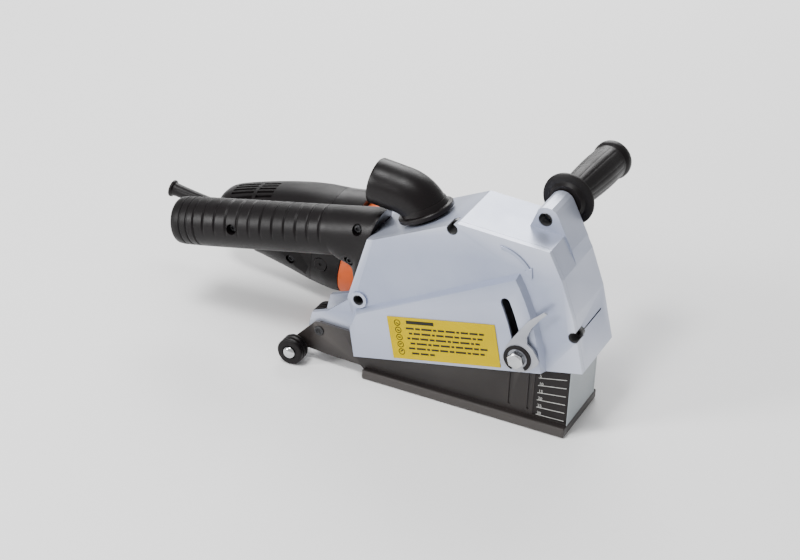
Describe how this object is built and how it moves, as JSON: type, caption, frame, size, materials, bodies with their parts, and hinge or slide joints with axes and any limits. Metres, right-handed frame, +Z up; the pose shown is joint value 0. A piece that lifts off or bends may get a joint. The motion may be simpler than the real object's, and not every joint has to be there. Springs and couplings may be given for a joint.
{
  "type": "wall chaser",
  "caption": "Handheld wall chaser: a motor unit drives paired diamond discs in a hinged plunge guard on a sliding shoe with a depth clamp, dust elbow and side handle.",
  "frame": {"origin": "middle of the bounding box at the floor the sole stands on", "axes": "+X towards the guard's nose, the direction of cut; +Y away from the cover side towards the motor; +Z up"},
  "size_m": [0.4357, 0.174, 0.1902],
  "materials": {
    "alloy": "satin cast, clear coated",
    "shoe": "dark satin coat on pressed steel",
    "black": "fine grained moulding",
    "orange": "fine grained moulding",
    "yellow": "printed label film",
    "steel": "bright zinc plate",
    "dark_steel": "blackened",
    "copper": "turned copper",
    "diamond": "ground disc with sintered rim",
    "red": "moulded"
  },
  "bodies": {
    "machine": {"barrel_grip_far": "black", "barrel_grip_near": "black", "brush_cap_far": "black", "brush_cap_near": "black", "carbon_brush_far": "dark_steel", "carbon_brush_near": "dark_steel", "cord_sleeve": "black", "cover_screw_front": "dark_steel", "cover_screw_rear": "dark_steel", "cover_screw_top": "dark_steel", "front_handle_grip": "black", "front_handle_stud": "steel", "gear_case": "alloy", "guard_cover": "alloy", "guard_housing": "alloy", "motor_bearing_front": "steel", "motor_bearing_rear": "steel", "motor_cover": "black", "motor_housing": "orange", "rear_handle_far": "black", "rear_handle_near": "black", "spindle_bearing_far": "steel", "spindle_bearing_near": "steel", "stator": "dark_steel", "switch_block": "black", "torsion_spring": "steel", "warning_label": "yellow"},
    "shoe": {"base_shoe": "shoe", "depth_scale_plate": "black", "pivot_pin": "steel", "roller_axle": "steel", "axle_cap_near": "steel", "axle_cap_far": "steel", "clamp_bolt": "steel", "clamp_nut": "steel", "clamp_washer": "dark_steel"},
    "roller_near": {"roller_near": "black"},
    "roller_far": {"roller_far": "black"},
    "depth_lever": {"depth_lever": "steel"},
    "spindle": {"spindle": "steel", "inner_flange": "steel", "disc_spacer": "steel", "outer_flange": "steel", "disc_nut": "steel", "diamond_disc_near": "diamond", "diamond_disc_far": "diamond", "crown_gear": "dark_steel"},
    "armature": {"armature_shaft": "steel", "armature_core": "dark_steel", "commutator": "copper", "cooling_fan": "black", "pinion": "dark_steel"},
    "dust_elbow": {"dust_elbow": "black"},
    "trigger": {"trigger": "black"},
    "lock_off": {"lock_off_button": "red"},
    "spindle_lock": {"spindle_lock_button": "black"}
  },
  "joints": [
    {"name": "shoe_hinge", "type": "hinge", "parent": "machine", "child": "shoe", "pos_m": [-0.0094, -0.04035, 0.0298], "axis": [0, -1, 0], "range_deg": [0, 12]},
    {"name": "roller_near_spin", "type": "hinge", "parent": "shoe", "child": "roller_near", "pos_m": [-0.0284, -0.07815, 0.0113], "axis": [0, 1, 0], "continuous": true},
    {"name": "roller_far_spin", "type": "hinge", "parent": "shoe", "child": "roller_far", "pos_m": [-0.0284, -0.01835, 0.0113], "axis": [0, 1, 0], "continuous": true},
    {"name": "depth_lever_turn", "type": "hinge", "parent": "shoe", "child": "depth_lever", "pos_m": [0.16723, -0.07935, 0.06445], "axis": [0, -1, 0], "range_deg": [0, 60]},
    {"name": "spindle_spin", "type": "hinge", "parent": "machine", "child": "spindle", "pos_m": [0.11583, -0.04035, 0.07554], "axis": [0, 1, 0], "continuous": true},
    {"name": "armature_spin", "type": "hinge", "parent": "machine", "child": "armature", "pos_m": [-0.01329, 0.04765, 0.04809], "axis": [0.9781, 0, 0.2079], "continuous": true},
    {"name": "elbow_swivel", "type": "hinge", "parent": "machine", "child": "dust_elbow", "pos_m": [0.0677, -0.04035, 0.14515], "axis": [-0.4344, 0, 0.9007], "continuous": true},
    {"name": "trigger_pull", "type": "hinge", "parent": "machine", "child": "trigger", "pos_m": [-0.10446, 0.04765, 0.02493], "axis": [0, 1, 0], "range_deg": [0, 6], "stiffness_Nm_per_rad": 0.6, "springref_deg": -8.59},
    {"name": "lock_off_press", "type": "slide", "parent": "machine", "child": "lock_off", "axis": [0, 1, 0], "range_m": [0, 0.004], "stiffness_N_per_m": 400, "springref_m": -0.002},
    {"name": "spindle_lock_press", "type": "slide", "parent": "machine", "child": "spindle_lock", "axis": [0.2079, 0, -0.9781], "range_m": [0, 0.004], "stiffness_N_per_m": 600, "springref_m": -0.002}
  ],
  "couplings": [
    {"joint": "armature_spin", "follows": "spindle_spin", "ratio": -3.7273}
  ]
}
